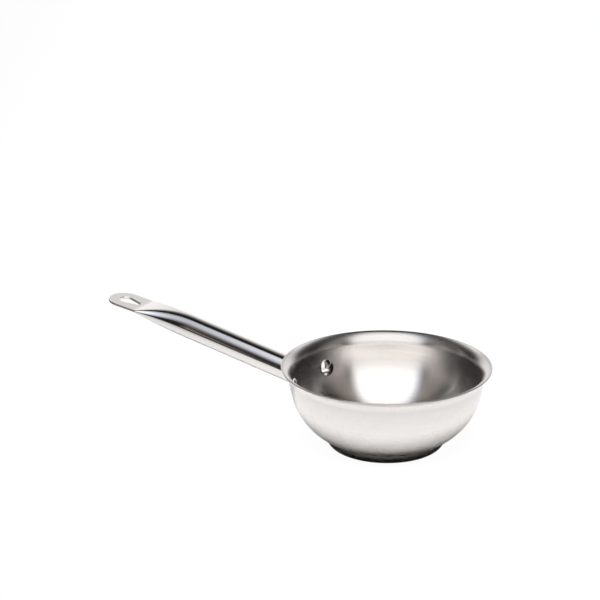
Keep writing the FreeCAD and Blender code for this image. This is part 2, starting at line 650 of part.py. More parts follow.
def make_saddle():
    """Press the saddle: a plate along the belly, cut to its outline, with a drawn collar."""
    body = new_body("handle_saddle")
    plate = new_sketch(body, "plate_section", "XZ_Plane")
    centre = (-value(BELLY_CENTRE), value("Sizes.belly_height"))
    inner = value("Sizes.belly_radius")
    outer = value(OUTER_SEAT)
    sweep = value("Sizes.plate_sweep")
    low = math.radians(180 + sweep)
    plate.addGeometry([
        arc(centre, inner, 180, 180 + sweep),
        line(
            (centre[0] + inner * math.cos(low), centre[1] + inner * math.sin(low)),
            (centre[0] + outer * math.cos(low), centre[1] + outer * math.sin(low)),
        ),
        arc(centre, outer, 180, 180 + sweep),
        line((centre[0] - outer, centre[1]), (centre[0] - inner, centre[1])),
    ])
    inside, foot, outside, head = range(4)
    tie(plate, "Coincident", inside, 2, foot, 1)
    tie(plate, "Coincident", foot, 2, outside, 2)
    tie(plate, "Coincident", outside, 1, head, 1)
    tie(plate, "Coincident", head, 2, inside, 1)
    tie(plate, "Coincident", outside, 3, inside, 3)
    tie(plate, "Horizontal", head)
    tie(plate, "Horizontal", inside, 1, inside, 3)
    tie(plate, "PointOnObject", inside, 3, foot)
    size(plate, "belly", "Radius", (inside,), "Sizes.belly_radius")
    size(plate, "outside", "Radius", (outside,), OUTER_SEAT)
    size(plate, "height", "DistanceY", (*ORIGIN, inside, 3), "Sizes.belly_height")
    size(plate, "centre", "DistanceX", (inside, 3, *ORIGIN), BELLY_CENTRE)
    size(plate, "sweep", "Angle", (inside,), "Sizes.plate_sweep")
    revolve(body, plate, "plate", angle="2 * Sizes.saddle_half_angle")
    pocket_through(body, saddle_outline(body), "plate_outline")

    collar = revolve(body, collar_sketch(body), "collar", "Axis0")
    groove = revolve(body, bowl_room(body), "bowl_room", kind="PartDesign::Groove")
    if groove.Shape.Volume >= collar.Shape.Volume:
        raise RuntimeError("bowl_room cuts nothing")
    round_collar_root(body)
    pocket_through(body, bore_sketch(body), "collar_bore")
    rivet_hole(body, "ear_hole_left", 1)
    rivet_hole(body, "ear_hole_right", -1)
    return body


def saddle_outline(body):
    """Draw what is cut away round the plate: inside it two ears are joined by long tangent arcs."""
    sketch = new_sketch(body, "plate_outline_sketch", "YZ_Plane")
    ear = value("Sizes.ear_radius")
    crown = value("Sizes.crown_height")
    span = value(EAR_SPAN)
    level = value("Sizes.rivet_height")
    sweep = (span ** 2 + crown ** 2 - ear ** 2) / (2 * (crown - ear))
    drop = sweep - crown
    open_angle = math.degrees(math.atan2(drop, span))
    half = 90 - open_angle
    clear = value("Sizes.mouth_radius")
    sketch.addGeometry([
        arc((0, level - drop), sweep, 90 - half, 90 + half),
        arc((-span, level), ear, 90 + half, 270 - half),
        arc((0, level + drop), sweep, 270 - half, 270 + half),
        arc((span, level), ear, 270 + half, 450 - half),
        line((-clear, level - clear), (clear, level - clear)),
        line((clear, level - clear), (clear, level + clear)),
        line((clear, level + clear), (-clear, level + clear)),
        line((-clear, level + clear), (-clear, level - clear)),
    ])
    top, left, under, right = range(4)
    frame = range(4, 8)
    tie(sketch, "Tangent", top, 2, left, 1)
    tie(sketch, "Tangent", left, 2, under, 1)
    tie(sketch, "Tangent", under, 2, right, 1)
    tie(sketch, "Tangent", right, 2, top, 1)
    tie(sketch, "PointOnObject", top, 3, AXIS_UP)
    tie(sketch, "Equal", top, under)
    for first, second in zip(frame, (*frame[1:], frame[0])):
        tie(sketch, "Coincident", first, 2, second, 1)
    for index in frame:
        tie(sketch, "Block", index)
    size(sketch, "ear", "Radius", (right,), "Sizes.ear_radius")
    size(sketch, "ear_right", "DistanceX", (*ORIGIN, right, 3), EAR_SPAN)
    size(sketch, "ear_left", "DistanceX", (left, 3, *ORIGIN), EAR_SPAN)
    size(sketch, "level_right", "DistanceY", (*ORIGIN, right, 3), "Sizes.rivet_height")
    size(sketch, "level_left", "DistanceY", (*ORIGIN, left, 3), "Sizes.rivet_height")
    size(
        sketch, "sweep", "Radius", (top,),
        f"({EAR_SPAN}^2 + Sizes.crown_height^2 - Sizes.ear_radius^2)"
        " / (2 * (Sizes.crown_height - Sizes.ear_radius))",
    )
    return sketch


def handle_point(reach, rise):
    """Point in the handle's upright plane: along the axis by reach, square to it by rise."""
    tilt = math.radians(value("Sizes.handle_tilt"))
    return (
        -reach * math.cos(tilt) + rise * math.sin(tilt),
        value("Sizes.axis_height") + reach * math.sin(tilt) + rise * math.cos(tilt),
    )


def handle_profile(body, name, points, sizes):
    """Draw a closed outline beside the handle's axis; sizes are its reach and rise formulas."""
    sketch = new_sketch(body, name, "XZ_Plane")
    far = value("Sizes.joint_reach")
    sketch.addGeometry(line(handle_point(0, 0), handle_point(far, 0)), True)
    tie(sketch, "PointOnObject", 0, 1, AXIS_UP)
    size(sketch, "axis_height", "DistanceY", (*ORIGIN, 0, 1), "Sizes.axis_height")
    size(sketch, "axis_length", "Distance", (0,), "Sizes.joint_reach")
    rise = "Sizes.joint_reach * sin(Sizes.handle_tilt * 1 deg)"
    size(sketch, "axis_rise", "DistanceY", (0, 1, 0, 2), rise)
    corners = [handle_point(value(sizes[reach]), value(sizes[rise])) for reach, rise in points]
    for index, corner in enumerate(corners):
        sketch.addGeometry(line(corner, corners[(index + 1) % len(corners)]))
    for index in range(len(corners)):
        following = (index + 1) % len(corners)
        tie(sketch, "Coincident", index + 1, 2, following + 1, 1)
        along = points[index][1] == points[following][1]
        tie(sketch, "Parallel" if along else "Perpendicular", index + 1, 0)
    return sketch


def collar_sketch(body):
    """Draw the collar and its spigot beside the handle's axis, to be spun about it."""
    sizes = {
        "start": "Sizes.joint_reach - Sizes.collar_length",
        "joint": "Sizes.joint_reach",
        "end": "Sizes.joint_reach + Sizes.spigot_length",
        "axis": "0",
        "spigot": TUBE_BORE,
        "collar": "Sizes.tube_radius",
    }
    points = (
        ("start", "axis"), ("end", "axis"), ("end", "spigot"),
        ("joint", "spigot"), ("joint", "collar"), ("start", "collar"),
    )
    sketch = handle_profile(body, "collar_section", points, sizes)
    middle, tip, spigot, step, side = 1, 2, 3, 4, 5
    tie(sketch, "PointOnObject", middle, 1, 0)
    size(sketch, "spigot", "Distance", (tip,), sizes["spigot"])
    size(sketch, "spigot_length", "Distance", (spigot,), "Sizes.spigot_length")
    size(sketch, "step", "Distance", (step,), "Sizes.tube_wall")
    size(sketch, "collar_length", "Distance", (side,), "Sizes.collar_length")
    tie(sketch, "PointOnObject", 0, 2, step)
    return sketch


def bore_sketch(body):
    """Draw the collar's bore square to the handle's axis."""
    turn = "create(<<vector>>; 1; 0; 0); Sizes.handle_tilt"
    sketch = new_sketch(body, "bore_circle", "YZ_Plane", placement(0, "Sizes.axis_height", 0, turn))
    radius = f"{TUBE_BORE} - Sizes.collar_wall"
    sketch.addGeometry(Part.Circle(Vector(0, 0, 0), Vector(0, 0, 1), value(radius)))
    tie(sketch, "Coincident", 0, 3, *ORIGIN)
    size(sketch, "bore", "Radius", (0,), radius)
    return sketch


def round_collar_root(body):
    """Round the inner corner where the collar rises from the plate."""
    tip = body.Tip
    near = handle_point(0, 0)
    far = handle_point(1, 0)
    start = Vector(near[0], 0, near[1])
    heading = Vector(far[0], 0, far[1]) - start
    root = []
    for index, edge in enumerate(tip.Shape.Edges, start=1):
        middle = edge.valueAt((edge.FirstParameter + edge.LastParameter) / 2)
        from_axis = middle.distanceToLine(start, heading)
        from_belly = math.hypot(
            math.hypot(middle.x, middle.y) - value(BELLY_CENTRE),
            middle.z - value("Sizes.belly_height"),
        )
        on_collar = abs(from_axis - value("Sizes.tube_radius")) < EDGE_SLACK
        on_plate = abs(from_belly - value(OUTER_SEAT)) < EDGE_SLACK
        if on_collar and on_plate:
            root.append(f"Edge{index}")
    fillet = body.newObject("PartDesign::Fillet", "collar_root")
    fillet.Base = (tip, root)
    fillet.setExpression("Radius", "Sizes.collar_root_radius")
    doc.recompute()


def bowl_room(body):
    """Draw the room that the bowl takes up inside the saddle, to be spun about the bowl's axis."""
    sketch = new_sketch(body, "bowl_room_section", "XZ_Plane")
    centre = (-value(BELLY_CENTRE), value("Sizes.belly_height"))
    radius = value("Sizes.belly_radius")
    low = centre[1] - radius
    sketch.addGeometry([
        line((0, low), (centre[0], low)),
        arc(centre, radius, 180, 270),
        line((centre[0] - radius, centre[1]), (0, centre[1])),
        line((0, centre[1]), (0, low)),
    ])
    under, wall, top, middle = range(4)
    tie(sketch, "Tangent", under, 2, wall, 2)
    tie(sketch, "Coincident", wall, 1, top, 1)
    tie(sketch, "Coincident", top, 2, middle, 1)
    tie(sketch, "Coincident", middle, 2, under, 1)
    tie(sketch, "Horizontal", under)
    tie(sketch, "Horizontal", top)
    tie(sketch, "PointOnObject", under, 1, AXIS_UP)
    tie(sketch, "PointOnObject", top, 2, AXIS_UP)
    tie(sketch, "Horizontal", wall, 1, wall, 3)
    size(sketch, "belly", "Radius", (wall,), "Sizes.belly_radius")
    size(sketch, "height", "DistanceY", (*ORIGIN, wall, 3), "Sizes.belly_height")
    size(sketch, "centre", "DistanceX", (wall, 3, *ORIGIN), BELLY_CENTRE)
    return sketch


def check(bodies):
    """Stop if any object failed or any piece isn't one valid solid."""
    doc.recompute()
    for item in doc.Objects:
        if {"Invalid", "Error"} & set(item.State):
            raise RuntimeError(f"{item.Label} failed: {item.State}")
    for body in bodies:
        shape = body.Shape
        if shape.isNull() or not shape.isValid() or len(shape.Solids) != 1:
            raise RuntimeError(f"{body.Label} isn't one valid solid")


sheet = make_sheet()
pieces = [
    make_bowl(),
    make_core(),
    make_capsule(),
    make_saddle(),
    make_handle(),
    make_rivet("handle_rivet_left", 1),
    make_rivet("handle_rivet_right", -1),
]
check(pieces)
os.makedirs("parts", exist_ok=True)
for piece in pieces:
    piece.Shape.exportStep(f"parts/{piece.Label}.step")
    print(f"{piece.Label}: {piece.Shape.Volume / 1000:.2f} cm3")
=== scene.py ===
import math

import bmesh
import bpy
import numpy as np
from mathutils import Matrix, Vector


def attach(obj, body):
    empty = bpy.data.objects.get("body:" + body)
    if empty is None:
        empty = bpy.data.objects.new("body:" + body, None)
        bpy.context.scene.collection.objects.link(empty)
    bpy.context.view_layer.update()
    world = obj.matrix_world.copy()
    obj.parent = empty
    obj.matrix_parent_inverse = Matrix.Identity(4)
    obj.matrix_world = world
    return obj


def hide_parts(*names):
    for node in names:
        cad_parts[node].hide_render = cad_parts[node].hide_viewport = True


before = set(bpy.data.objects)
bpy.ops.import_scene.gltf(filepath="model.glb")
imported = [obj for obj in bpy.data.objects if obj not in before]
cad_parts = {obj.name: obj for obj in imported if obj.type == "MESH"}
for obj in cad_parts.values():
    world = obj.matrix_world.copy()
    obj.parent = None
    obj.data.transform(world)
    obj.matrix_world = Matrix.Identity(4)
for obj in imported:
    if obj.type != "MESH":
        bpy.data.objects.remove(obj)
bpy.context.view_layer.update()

# Sizes of the solids, in millimetres and degrees
MM = 0.001
BOWL_WALL = 1.2
MOUTH_RADIUS = 80.2
BELLY_RADIUS = 57.0
BELLY_HEIGHT = 58.6
CORNER_RADIUS = 15.0
LIP_RADIUS = 9.8
LIP_TURN = 73.0
CORE_THICKNESS = 5.6
CAPSULE_WALL = 0.6
BASE_RADIUS = 49.5
BASE_EDGE_RADIUS = 7.4
AXIS_HEIGHT = 29.3
HANDLE_TILT = 11.0
TUBE_RADIUS = 10.5
TUBE_WALL = 1.0
JOINT_REACH = 92.0
ROUND_REACH = 197.0
TAB_REACH = 250.0
TIP_REACH = 282.6
TAB_WIDTH = 31.0
TAB_THICKNESS = 2.1
TAB_BEND = 3.5
PRESS_POWER = 2.2
EYE_REACH = 267.0
EYE_RADIUS = 5.8
EYE_LENGTH = 12.4
EYE_TAIL_RADIUS = 2.3
EYE_EDGE = 0.3
SPIGOT_LENGTH = 12.0
SADDLE_THICKNESS = 1.5
RIVET_ANGLE = 19.3
RIVET_HEIGHT = 44.6
SHANK_RADIUS = 3.0
HEAD_RADIUS = 6.6
HEAD_HEIGHT = 3.0
TAIL_RADIUS = 5.0
TAIL_HEIGHT = 1.0
RIVET_EDGE = 0.7

# Places that follow from the sizes
FLOOR = CAPSULE_WALL + CORE_THICKNESS
BELLY_CENTRE = MOUTH_RADIUS - BELLY_RADIUS
CORNER_HEIGHT = FLOOR + CORNER_RADIUS
CORNER_CENTRE = BELLY_CENTRE + math.sqrt(
    (BELLY_RADIUS - CORNER_RADIUS) ** 2 - (BELLY_HEIGHT - CORNER_HEIGHT) ** 2
)
BELLY = (BELLY_CENTRE, BELLY_HEIGHT)
CORNER = (CORNER_CENTRE, CORNER_HEIGHT)
JOIN = math.degrees(math.atan2(CORNER_HEIGHT - BELLY_HEIGHT, CORNER_CENTRE - BELLY_CENTRE))
INNER_LIP_RADIUS = LIP_RADIUS + BOWL_WALL

# Finish numbers of the bowl, and the angle on the lip where the polish of the rim ends
OUTSIDE, INSIDE, RIM = 0, 1, 2
POLISHED_TO = 116.0

# Softer runs of the handle than the solid's: the shoulder's foot and the bend before the tab
FOOT_RUN = 2.0
FOOT_SOFTNESS = 0.35
BEND_RUN = 8.0

# Points in the runs of the sections
FLOOR_POINTS = 12
CORNER_POINTS = 10
BELLY_POINTS = 44
LIP_POINTS = 24
RIM_POINTS = 12
POLISH_POINTS = 8
INNER_LIP_POINTS = 18
INNER_FLOOR_POINTS = 16
BASE_FLOOR_POINTS = 14
BASE_EDGE_POINTS = 16
BASE_RIM_POINTS = 3
BASE_INNER_POINTS = 8
RIVET_CAP_POINTS = 18

# Steps of the grids: round the axes, and on the handle its sides, flats, tab edges, tip and rows
ROUND_STEPS = 360
RIVET_STEPS = 72
SIDE_STEPS = 44
FLAT_STEPS = 24
EDGE_STEPS = 14
TIP_STEPS = 40
TUBE_ROWS = 14
SHOULDER_ROWS = 110
SHOULDER_LEAD = 4.0
FACE_ROWS = 9
BEND_POINTS = 4001

# The tab's faces are drawn from this place, counted from the bend, out to the outline
RAY_CENTRE = 12.0
EYE_BROAD_POINTS = 181
EYE_TAIL_POINTS = 91
EYE_SIDE_POINTS = 60

# Welding and shading
SHARP_ANGLE = 38.0
WELD = 1e-6


def arc(centre, radius, start, end, count):
    """Points of a circle between two angles in degrees: centre + radius (cosine, sine)."""
    angle = np.radians(np.linspace(start, end, count))
    return np.c_[centre[0] + radius * np.cos(angle), centre[1] + radius * np.sin(angle)]


def line(start, end, count):
    """Evenly spaced points from one end to the other."""
    return np.linspace(start, end, count)


def grid_quads(rows, columns):
    """Corner numbers of the quads of a grid that is stored row by row."""
    first = (np.arange(rows - 1)[:, None] * columns + np.arange(columns - 1)).ravel()
    return np.c_[first, first + 1, first + columns + 1, first + columns]


def close_mesh(mesh, recalculate=True):
    """Weld seams and poles, point the faces outwards and shade smoothly up to the sharp angle."""
    work = bmesh.new()
    work.from_mesh(mesh)
    bmesh.ops.remove_doubles(work, verts=work.verts, dist=WELD)
    if recalculate:
        bmesh.ops.recalc_face_normals(work, faces=work.faces)
    work.to_mesh(mesh)
    work.free()
    mesh.polygons.foreach_set("use_smooth", np.ones(len(mesh.polygons), bool))
    mesh.set_sharp_from_angle(angle=math.radians(SHARP_ANGLE))


def place_piece(name, mesh, finishes, node):
    """Put a finished mesh into the scene in the stead of its solid."""
    for finish in finishes:
        mesh.materials.append(finish)
    piece = bpy.data.objects.new(name, mesh)
    bpy.context.scene.collection.objects.link(piece)
    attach(piece, "root")
    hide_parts(node)
    return piece


def surface_piece(name, grids, finishes, node):
    """Make one piece of grids, each (points, surface map, finish number of each row of quads)."""
    points, quads, maps, finish = [], [], [], []
    start = 0
    for grid, surface_map, row_finish in grids:
        rows, columns = grid.shape[:2]
        corners = grid_quads(rows, columns)
        points.append(grid.reshape(-1, 3) * MM)
        quads.append(corners + start)
        maps.append(surface_map.reshape(-1, 2)[corners.ravel()])
        finish.append(np.repeat(row_finish, columns - 1))
        start += rows * columns
    mesh = bpy.data.meshes.new(name)
    mesh.from_pydata(np.vstack(points).tolist(), [], np.vstack(quads).tolist())
    layer = mesh.uv_layers.new(name="surface")
    layer.data.foreach_set("uv", np.vstack(maps).astype(np.float32).ravel())
    mesh.polygons.foreach_set("material_index", np.concatenate(finish).astype(np.int32))
    close_mesh(mesh)
    return place_piece(name, mesh, finishes, node)


def run_length(section):
    """Distance along a section, in metres, at each of its points."""
    steps = np.linalg.norm(np.diff(section, axis=0), axis=1)
    return np.r_[0.0, np.cumsum(steps)] * MM


def spin(section, steps, origin=(0.0, 0.0, 0.0), axis=(0.0, 0.0, 1.0)):
    """Carry a section round an axis: origin + along * axis + radius (cos t side + sin t across).

    The section holds (radius, along) points. The surface map holds the distance along the section
    and the share of the turn.
    """
    axis = np.array(axis, float)
    helper = np.array((1.0, 0.0, 0.0) if abs(axis[2]) > 0.9 else (0.0, 0.0, 1.0))
    side = np.cross(helper, axis)
    side /= np.linalg.norm(side)
    across = np.cross(axis, side)
    turn = np.linspace(0.0, 2 * np.pi, steps + 1)
    turn_cos, turn_sin = np.cos(turn), np.sin(turn)
    turn_cos[-1], turn_sin[-1] = 1.0, 0.0
    ring = turn_cos[:, None] * side + turn_sin[:, None] * across
    points = section[:, 0, None, None] * ring + (section[:, 1, None] * axis)[:, None, :]
    along = np.broadcast_to(run_length(section)[:, None], points.shape[:2])
    share = np.broadcast_to(turn / (2 * np.pi), points.shape[:2])
    return points + np.array(origin), np.stack([along, share], axis=-1)


def joined(parts):
    """Join runs of points that share their ends, with the finish number of each row of quads."""
    section = np.vstack([parts[0][0]] + [run[1:] for run, _ in parts[1:]])
    finish = np.concatenate([np.full(len(run) - 1, number) for run, number in parts])
    return section, finish


def bowl_section():
    """Half section of the bowl: floor, corner, belly and lip outside, round rim, same inside."""
    lip_end = 180.0 - LIP_TURN
    lip = (MOUTH_RADIUS + LIP_RADIUS, BELLY_HEIGHT)
    edge_reach = LIP_RADIUS + BOWL_WALL / 2
    edge = (
        lip[0] + edge_reach * math.cos(math.radians(lip_end)),
        lip[1] + edge_reach * math.sin(math.radians(lip_end)),
    )
    top = FLOOR + BOWL_WALL
    return joined([
        (line((0.0, FLOOR), (CORNER_CENTRE, FLOOR), FLOOR_POINTS), OUTSIDE),
        (arc(CORNER, CORNER_RADIUS, -90, JOIN, CORNER_POINTS), OUTSIDE),
        (arc(BELLY, BELLY_RADIUS, JOIN, 0, BELLY_POINTS), OUTSIDE),
        (arc(lip, LIP_RADIUS, 180, lip_end, LIP_POINTS), OUTSIDE),
        (arc(edge, BOWL_WALL / 2, lip_end - 180, lip_end, RIM_POINTS), RIM),
        (arc(lip, INNER_LIP_RADIUS, lip_end, POLISHED_TO, POLISH_POINTS), RIM),
        (arc(lip, INNER_LIP_RADIUS, POLISHED_TO, 180, INNER_LIP_POINTS), INSIDE),
        (arc(BELLY, BELLY_RADIUS - BOWL_WALL, 0, JOIN, BELLY_POINTS), INSIDE),
        (arc(CORNER, CORNER_RADIUS - BOWL_WALL, JOIN, -90, CORNER_POINTS), INSIDE),
        (line((CORNER_CENTRE, top), (0.0, top), INNER_FLOOR_POINTS), INSIDE),
    ])


def seat_angle(radius):
    """Angle on the bowl's corner where it stands over a given radius."""
    return math.degrees(math.asin((radius - CORNER_CENTRE) / CORNER_RADIUS)) - 90


def capsule_section():
    """Half section of the base cup: floor, rounded edge and upright rim outside, same inside."""
    edge = (BASE_RADIUS - BASE_EDGE_RADIUS, BASE_EDGE_RADIUS)
    inner = BASE_RADIUS - CAPSULE_WALL
    seat_turn = (seat_angle(BASE_RADIUS), seat_angle(inner))
    seat = arc(CORNER, CORNER_RADIUS, *seat_turn, BASE_RIM_POINTS)
    return joined([
        (line((0.0, 0.0), (edge[0], 0.0), BASE_FLOOR_POINTS), 0),
        (arc(edge, BASE_EDGE_RADIUS, -90, 0, BASE_EDGE_POINTS), 0),
        (line((BASE_RADIUS, edge[1]), seat[0], BASE_RIM_POINTS), 0),
        (seat, 0),
        (line(seat[-1], (inner, edge[1]), BASE_RIM_POINTS), 0),
        (arc(edge, BASE_EDGE_RADIUS - CAPSULE_WALL, 0, -90, BASE_EDGE_POINTS), 0),
        (line((edge[0], CAPSULE_WALL), (0.0, CAPSULE_WALL), BASE_INNER_POINTS), 0),
    ])


def rivet_section():
    """Half section of a rivet as (radius, distance from the belly's centre), from head to tail.

    Each end is a dome of radius (r * r + rise * rise) / (2 * rise) over its seat on the wall.
    """
    runs = []
    for seat, radius, height, outward in (
        (BELLY_RADIUS - BOWL_WALL, HEAD_RADIUS, HEAD_HEIGHT, -1),
        (BELLY_RADIUS + SADDLE_THICKNESS, TAIL_RADIUS, TAIL_HEIGHT, 1),
    ):
        rim = math.sqrt(seat ** 2 - radius ** 2)
        crown = seat + outward * height
        rise = abs(crown - rim) - RIVET_EDGE
        dome = (radius ** 2 + rise ** 2) / (2 * rise)
        opening = math.degrees(math.asin(radius / dome))
        angles = np.radians(np.linspace(0, opening, RIVET_CAP_POINTS))
        cap = np.c_[dome * np.sin(angles), crown - outward * dome * (1 - np.cos(angles))]
        neck = (SHANK_RADIUS, math.sqrt(seat ** 2 - SHANK_RADIUS ** 2))
        runs.append(np.vstack([cap, [(radius, rim)], [neck]]))
    head, tail = runs
    return np.vstack([head, tail[::-1]])


def pressed_half_sizes(reach):
    """Half flat and half thickness of the tube at a distance along it.

    The share of the way from the round tube to the tab, raised to the press power, takes the half
    thickness and the half width from the tube's to the tab's. A hyperbola in place of a sharp bend
    rounds the shoulder's foot off just before the tab.
    """
    full = TUBE_RADIUS - TAB_THICKNESS / 2
    share = np.clip((reach + FOOT_RUN - ROUND_REACH) / (TAB_REACH - ROUND_REACH), 0.0, None)
    drop = full * (1.0 - share ** PRESS_POWER)
    left = (drop + np.sqrt(drop ** 2 + FOOT_SOFTNESS ** 2)) / 2
    press = np.clip(1.0 - left / full, 0.0, 1.0)
    press = np.where(reach >= TAB_REACH, 1.0, press)
    thickness = TUBE_RADIUS - press * full
    width = TUBE_RADIUS + press * (TAB_WIDTH / 2 - TUBE_RADIUS)
    return width - thickness, thickness


def handle_frame(reach):
    """Place and lean of the handle's middle line: straight, then bent down evenly before the tab.

    Distance along and rise are the running sums of the cosine and the sine of the lean.
    """
    fine = np.linspace(0.0, TIP_REACH, BEND_POINTS)
    lean = -np.radians(TAB_BEND) * np.clip((fine - TAB_REACH + BEND_RUN) / BEND_RUN, 0.0, 1.0)
    step = fine[1] - fine[0]
    along = np.r_[0.0, np.cumsum((np.cos(lean[1:]) + np.cos(lean[:-1])) / 2 * step)]
    rise = np.r_[0.0, np.cumsum((np.sin(lean[1:]) + np.sin(lean[:-1])) / 2 * step)]
    return tuple(np.interp(reach, fine, values) for values in (along, rise, lean))


def handle_points(reach, across, height):
    """Carry section points along the handle: middle line at the reach, plus height square to it."""
    along, rise, lean = handle_frame(reach)
    along = along - height * np.sin(lean)
    rise = rise + height * np.cos(lean)
    tilt = math.radians(HANDLE_TILT)
    x = -along * math.cos(tilt) + rise * math.sin(tilt)
    z = AXIS_HEIGHT + along * math.sin(tilt) + rise * math.cos(tilt)
    return np.stack([x, across, z], axis=-1)


def handle_grid(reach, across, height):
    """Grid on the handle; its surface map holds the distance along it and the share of the row."""
    share = np.broadcast_to(np.linspace(0, 1, reach.shape[1]), reach.shape)
    surface_map = np.stack([reach * MM, share], axis=-1)
    return handle_points(reach, across, height), surface_map, np.zeros(len(reach) - 1, int)


def tube_grid():
    """Tube and shoulder: half rounds at plus and minus the half flat, joined by the two flats."""
    round_part = np.linspace(JOINT_REACH, ROUND_REACH - SHOULDER_LEAD, TUBE_ROWS)
    shoulder = np.linspace(ROUND_REACH - SHOULDER_LEAD, TAB_REACH, SHOULDER_ROWS)[1:]
    reach = np.r_[round_part, shoulder]
    flat, thick = pressed_half_sizes(reach)
    right = np.radians(np.linspace(-90, 90, SIDE_STEPS + 1))
    left = np.radians(np.linspace(90, 270, SIDE_STEPS + 1))
    flat_share = np.linspace(1, -1, FLAT_STEPS + 1)[1:-1]
    rounds = np.ones(SIDE_STEPS + 1)
    flats = np.ones(FLAT_STEPS - 1)
    place = np.r_[rounds, flat_share, -rounds, -flat_share, 1.0]
    curve_x = np.r_[np.cos(right), 0 * flats, np.cos(left), 0 * flats, 0.0]
    curve_z = np.r_[np.sin(right), flats, np.sin(left), -flats, -1.0]
    across = flat[:, None] * place + thick[:, None] * curve_x
    height = thick[:, None] * curve_z
    stations = np.broadcast_to(reach[:, None], across.shape)
    # The open end: a flat ring, the bore for the spigot, and a wall that closes the bore
    bore = TUBE_RADIUS - TUBE_WALL
    deep = JOINT_REACH + SPIGOT_LENGTH
    shares = np.array([0.0, bore, bore])[:, None] / TUBE_RADIUS
    depth = np.array([deep, deep, JOINT_REACH])[:, None]
    across = np.vstack([shares * across[0], across])
    height = np.vstack([shares * height[0], height])
    stations = np.vstack([np.broadcast_to(depth, (3, across.shape[1])), stations])
    return handle_grid(stations, across, height)


def tab_outline():
    """Edge of the tab's flat face from the bend, down one side, round the tip and back."""
    flat = (TAB_WIDTH - TAB_THICKNESS) / 2
    straight = TIP_REACH - TAB_REACH - TAB_WIDTH / 2
    side = np.linspace(0.0, straight, EDGE_STEPS + 1)
    angle = np.radians(np.linspace(-90, 90, TIP_STEPS + 1))
    outward = np.vstack([
        np.c_[np.zeros(EDGE_STEPS), -np.ones(EDGE_STEPS)],
        np.c_[np.cos(angle), np.sin(angle)],
        np.c_[np.zeros(EDGE_STEPS), np.ones(EDGE_STEPS)],
    ])
    along = np.r_[side[:-1], straight + flat * np.cos(angle), side[::-1][1:]]
    across = np.r_[np.full(EDGE_STEPS, -flat), flat * np.sin(angle), np.full(EDGE_STEPS, flat)]
    return np.c_[along, across], outward


def eye_radius_at(angle, grow):
    """Distance from the ray centre to the teardrop, widened by a little, in each direction.

    The teardrop is a broad arc, a tail arc and the two straight sides that touch both.
    """
    broad, tail = EYE_RADIUS + grow, EYE_TAIL_RADIUS + grow
    lean = math.degrees(math.acos((broad - tail) / EYE_LENGTH))
    middle = EYE_REACH - TAB_REACH - RAY_CENTRE
    broad_arc = arc((middle, 0.0), broad, lean - 180, 180 - lean, EYE_BROAD_POINTS)
    tail_arc = arc((middle - EYE_LENGTH, 0.0), tail, 180 - lean, 180 + lean, EYE_TAIL_POINTS)
    one_side = line(tail_arc[-1], broad_arc[0], EYE_SIDE_POINTS)[1:-1]
    other_side = line(broad_arc[-1], tail_arc[0], EYE_SIDE_POINTS)[1:-1]
    x, y = np.vstack([broad_arc, tail_arc, one_side, other_side]).T
    turn = np.arctan2(y, x)
    order = np.argsort(turn)
    return np.interp(angle, turn[order], np.hypot(x, y)[order], period=2 * np.pi)


def tab_grids():
    """Tab: two flat faces between outline and eye, joined by the eye's wall and round edges."""
    thick = TAB_THICKNESS / 2
    outline, outward = tab_outline()
    flat = outline[-1, 1]
    across_line = np.c_[np.zeros(FLAT_STEPS), np.linspace(flat, -flat, FLAT_STEPS + 1)[1:]]
    loop = np.vstack([outline, across_line])
    angle = np.arctan2(loop[:, 1], loop[:, 0] - RAY_CENTRE)
    eye = eye_radius_at(angle, 0.0)
    bevel = eye_radius_at(angle, EYE_EDGE)
    outer = np.hypot(loop[:, 0] - RAY_CENTRE, loop[:, 1])
    steps = np.linspace(0, 1, FACE_ROWS)[:, None]
    face = outer * (1 - steps) + bevel * steps
    ray = np.vstack([face, eye[None], eye[None], face[::-1]])
    level = np.full(FACE_ROWS, thick)
    height = np.r_[level, thick - EYE_EDGE, EYE_EDGE - thick, -level]
    along = TAB_REACH + RAY_CENTRE + ray * np.cos(angle)
    faces = handle_grid(along, ray * np.sin(angle), height[:, None])
    # The half-round edge is carried along the outline, square to it
    turn = np.radians(np.linspace(90, -90, SIDE_STEPS + 1))
    along = TAB_REACH + outline[:, 0, None] + thick * np.cos(turn) * outward[:, 0, None]
    across = outline[:, 1, None] + thick * np.cos(turn) * outward[:, 1, None]
    return [faces, handle_grid(along, across, thick * np.sin(turn))]


# Shader helpers
def put(tree, kind, sockets=None, **settings):
    """Add a node; each socket gets a plain value or another node's output."""
    node = tree.nodes.new(kind)
    for key, setting in settings.items():
        setattr(node, key, setting)
    for key, entry in (sockets or {}).items():
        if isinstance(entry, bpy.types.NodeSocket):
            tree.links.new(entry, node.inputs[key])
        else:
            node.inputs[key].default_value = entry
    return node


def calc(tree, operation, first, second=0.0):
    """One step of arithmetic with two numbers."""
    return put(tree, "ShaderNodeMath", {0: first, 1: second}, operation=operation).outputs[0]


def product(tree, first, *others):
    """Product of two or more numbers."""
    for other in others:
        first = calc(tree, "MULTIPLY", first, other)
    return first


def ramp(tree, value, low, high, bottom=0.0, top=1.0):
    """Smooth step of a value between two limits."""
    sockets = {"Value": value, "From Min": low, "From Max": high, "To Min": bottom, "To Max": top}
    return put(tree, "ShaderNodeMapRange", sockets, interpolation_type="SMOOTHSTEP").outputs[0]


def vector_calc(tree, operation, sockets):
    """One step of arithmetic with vectors."""
    return put(tree, "ShaderNodeVectorMath", sockets, operation=operation)


def dot(tree, vector, direction):
    """Part of a vector along a direction."""
    return vector_calc(tree, "DOT_PRODUCT", {0: vector, 1: direction}).outputs["Value"]


def scaled(tree, vector, factor):
    """A vector or colour times a number."""
    return vector_calc(tree, "SCALE", {0: vector, "Scale": factor}).outputs[0]


